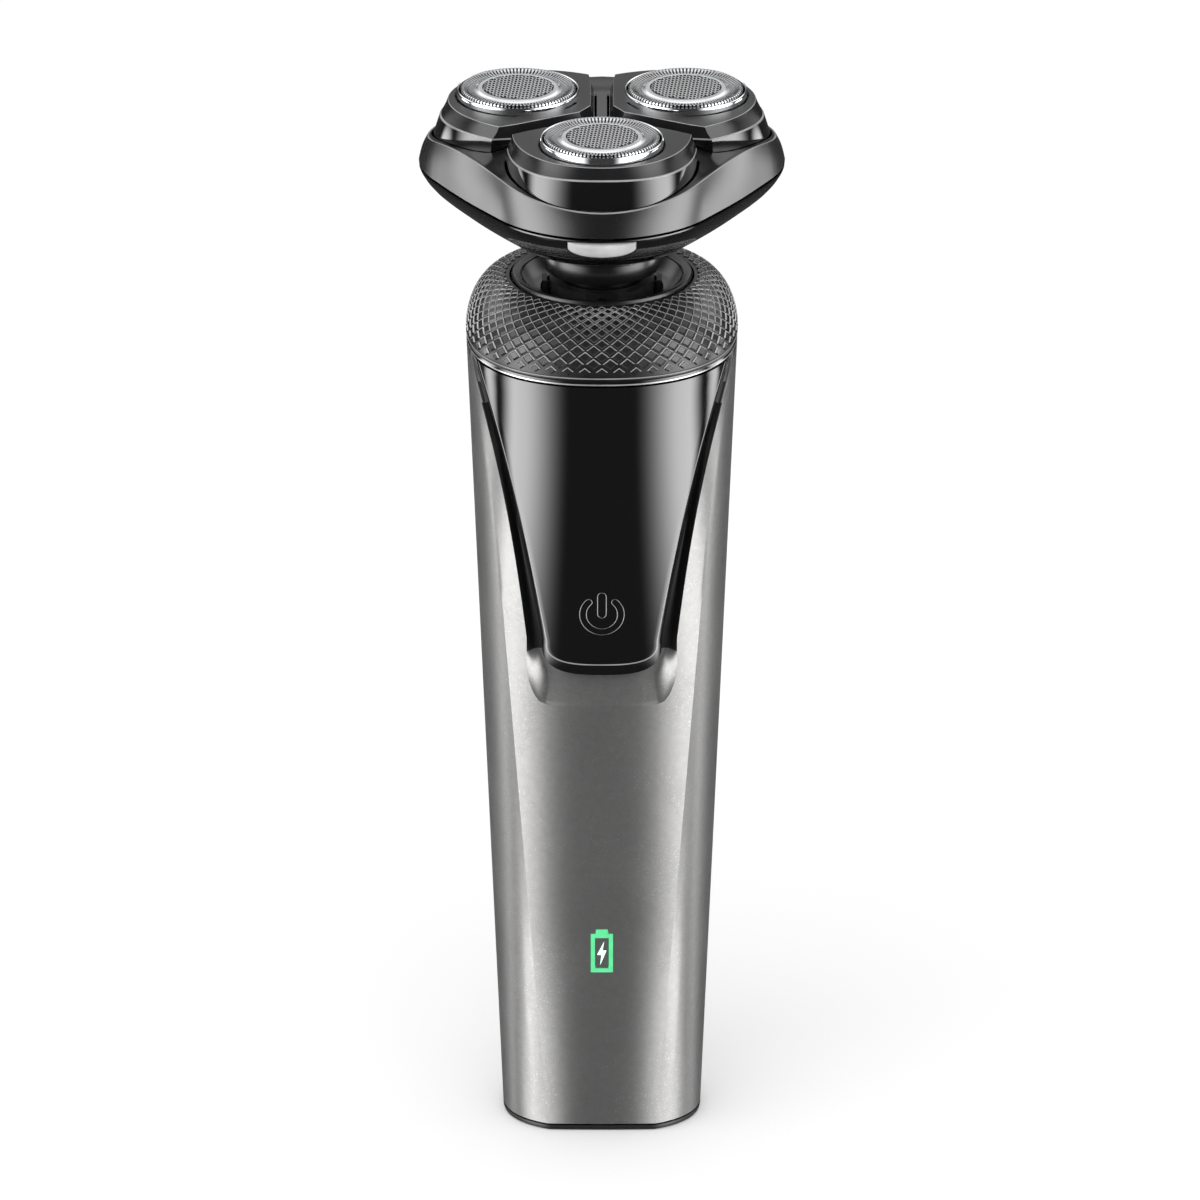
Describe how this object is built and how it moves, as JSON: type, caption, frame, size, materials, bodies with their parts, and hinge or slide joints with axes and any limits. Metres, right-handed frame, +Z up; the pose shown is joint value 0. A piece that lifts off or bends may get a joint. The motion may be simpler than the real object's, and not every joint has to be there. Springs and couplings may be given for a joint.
{
  "type": "electric shaver",
  "caption": "Cordless rotary shaver with three sinking cutter units on a tipping head, a knurled collar and a tapered metal handle.",
  "frame": {"origin": "on the base, on the axis of the motor and of the neck", "axes": "+Z up along the handle, -Y to the front panel, +X to the right seen from the front"},
  "size_m": [0.0586, 0.0573, 0.1725],
  "materials": {
    "casing": "satin metallic gunmetal",
    "base_black": "fine matt",
    "gloss_black": "polished black",
    "key": "polished black with a fine edge",
    "grip": "diamond knurl with bright edges",
    "neck_black": "smooth black",
    "icon_green": "lit green",
    "icon_white": "lit white",
    "inner_grey": "plain moulding",
    "acetal": "smooth off-white",
    "cell_sleeve": "shrink sleeve",
    "plated_steel": "plated",
    "board_green": "solder mask",
    "dark_plastic": "plain moulding",
    "clear_guide": "clear moulding",
    "screw_steel": "zinc plated",
    "frame_grey": "fine matt face, polished skirt",
    "chrome_trim": "mirror",
    "satin_chrome": "satin",
    "foil_steel": "fine turned",
    "cutter_steel": "ground"
  },
  "bodies": {
    "handle": {"main_casing": "casing", "base_cap": "base_black", "base_screw_1": "screw_steel", "base_screw_2": "screw_steel", "front_panel": "gloss_black", "grip_collar": "grip", "rim_trim": "gloss_black", "neck_ring": "neck_black", "neck_socket": "inner_grey", "icon_frame": "icon_green", "icon_bolt": "icon_white", "chassis": "inner_grey", "battery_cell": "cell_sleeve", "battery_tab_bottom": "plated_steel", "battery_tab_top": "plated_steel", "motor_can": "plated_steel", "motor_mount": "plated_steel", "circuit_board": "board_green", "tact_switch": "dark_plastic", "charge_socket": "dark_plastic", "light_guide": "clear_guide"},
    "power_key": {"power_key": "key"},
    "motor_drive": {"motor_shaft": "plated_steel", "drive_coupler": "acetal"},
    "gimbal": {"gimbal_ring": "acetal"},
    "head": {"lower_bowl": "gloss_black", "neck_stem": "neck_black", "gear_cover": "dark_plastic", "gear_cover_screw_1": "screw_steel", "gear_cover_screw_2": "screw_steel", "gear_cover_screw_3": "screw_steel", "hinge_pin": "plated_steel"},
    "head_drive": {"drive_gear": "acetal"},
    "release_button": {"release_button": "satin_chrome"},
    "head_cover": {"upper_bowl": "gloss_black"},
    "spindle_1": {"spindle_gear_1": "acetal"},
    "cutter_unit_1": {"cutter_frame_1": "frame_grey", "chrome_ring_1": "chrome_trim", "foil_cap_1": "foil_steel", "cutter_retainer_1": "dark_plastic"},
    "inner_cutter_1": {"inner_cutter_1": "cutter_steel"},
    "spindle_2": {"spindle_gear_2": "acetal"},
    "cutter_unit_2": {"cutter_frame_2": "frame_grey", "chrome_ring_2": "chrome_trim", "foil_cap_2": "foil_steel", "cutter_retainer_2": "dark_plastic"},
    "inner_cutter_2": {"inner_cutter_2": "cutter_steel"},
    "spindle_3": {"spindle_gear_3": "acetal"},
    "cutter_unit_3": {"cutter_frame_3": "frame_grey", "chrome_ring_3": "chrome_trim", "foil_cap_3": "foil_steel", "cutter_retainer_3": "dark_plastic"},
    "inner_cutter_3": {"inner_cutter_3": "cutter_steel"}
  },
  "joints": [
    {"name": "motor_spin", "type": "hinge", "parent": "handle", "child": "motor_drive", "pos_m": [0, 0, 0.13], "axis": [0, 0, 1], "continuous": true},
    {"name": "power_press", "type": "slide", "parent": "handle", "child": "power_key", "axis": [0, 1, 0], "range_m": [0, 0.0004], "stiffness_N_per_m": 3000},
    {"name": "head_pitch", "type": "hinge", "parent": "handle", "child": "gimbal", "pos_m": [0, 0, 0.1415], "axis": [1, 0, 0], "range_deg": [-6, 6], "stiffness_Nm_per_rad": 0.8},
    {"name": "head_roll", "type": "hinge", "parent": "gimbal", "child": "head", "pos_m": [0, 0, 0.1415], "axis": [0, 1, 0], "range_deg": [-6, 6], "stiffness_Nm_per_rad": 0.8},
    {"name": "drive_spin", "type": "hinge", "parent": "head", "child": "head_drive", "pos_m": [0, 0, 0.157], "axis": [0, 0, 1], "continuous": true},
    {"name": "release_press", "type": "slide", "parent": "head", "child": "release_button", "axis": [0, 1, 0], "range_m": [0, 0.0008], "stiffness_N_per_m": 2000},
    {"name": "cover_hinge", "type": "hinge", "parent": "head", "child": "head_cover", "pos_m": [0, 0.0252, 0.1605], "axis": [-1, 0, 0], "range_deg": [0, 100]},
    {"name": "spindle_spin_1", "type": "hinge", "parent": "head", "child": "spindle_1", "pos_m": [0, -0.0154, 0.157], "axis": [0, 0, 1], "continuous": true},
    {"name": "unit_float_1", "type": "slide", "parent": "head_cover", "child": "cutter_unit_1", "axis": [0, 0, -1], "range_m": [0, 0.0012], "stiffness_N_per_m": 900},
    {"name": "cutter_spin_1", "type": "hinge", "parent": "cutter_unit_1", "child": "inner_cutter_1", "pos_m": [0, -0.0154, 0.169], "axis": [0, 0, 1], "continuous": true},
    {"name": "spindle_spin_2", "type": "hinge", "parent": "head", "child": "spindle_2", "pos_m": [0.01334, 0.0077, 0.157], "axis": [0, 0, 1], "continuous": true},
    {"name": "unit_float_2", "type": "slide", "parent": "head_cover", "child": "cutter_unit_2", "axis": [0, 0, -1], "range_m": [0, 0.0012], "stiffness_N_per_m": 900},
    {"name": "cutter_spin_2", "type": "hinge", "parent": "cutter_unit_2", "child": "inner_cutter_2", "pos_m": [0.01334, 0.0077, 0.169], "axis": [0, 0, 1], "continuous": true},
    {"name": "spindle_spin_3", "type": "hinge", "parent": "head", "child": "spindle_3", "pos_m": [-0.01334, 0.0077, 0.157], "axis": [0, 0, 1], "continuous": true},
    {"name": "unit_float_3", "type": "slide", "parent": "head_cover", "child": "cutter_unit_3", "axis": [0, 0, -1], "range_m": [0, 0.0012], "stiffness_N_per_m": 900},
    {"name": "cutter_spin_3", "type": "hinge", "parent": "cutter_unit_3", "child": "inner_cutter_3", "pos_m": [-0.01334, 0.0077, 0.169], "axis": [0, 0, 1], "continuous": true}
  ],
  "couplings": [
    {"joint": "drive_spin", "follows": "motor_spin", "ratio": 1},
    {"joint": "spindle_spin_1", "follows": "motor_spin", "ratio": -0.69231},
    {"joint": "cutter_spin_1", "follows": "motor_spin", "ratio": -0.69231},
    {"joint": "spindle_spin_2", "follows": "motor_spin", "ratio": -0.69231},
    {"joint": "cutter_spin_2", "follows": "motor_spin", "ratio": -0.69231},
    {"joint": "spindle_spin_3", "follows": "motor_spin", "ratio": -0.69231},
    {"joint": "cutter_spin_3", "follows": "motor_spin", "ratio": -0.69231}
  ]
}
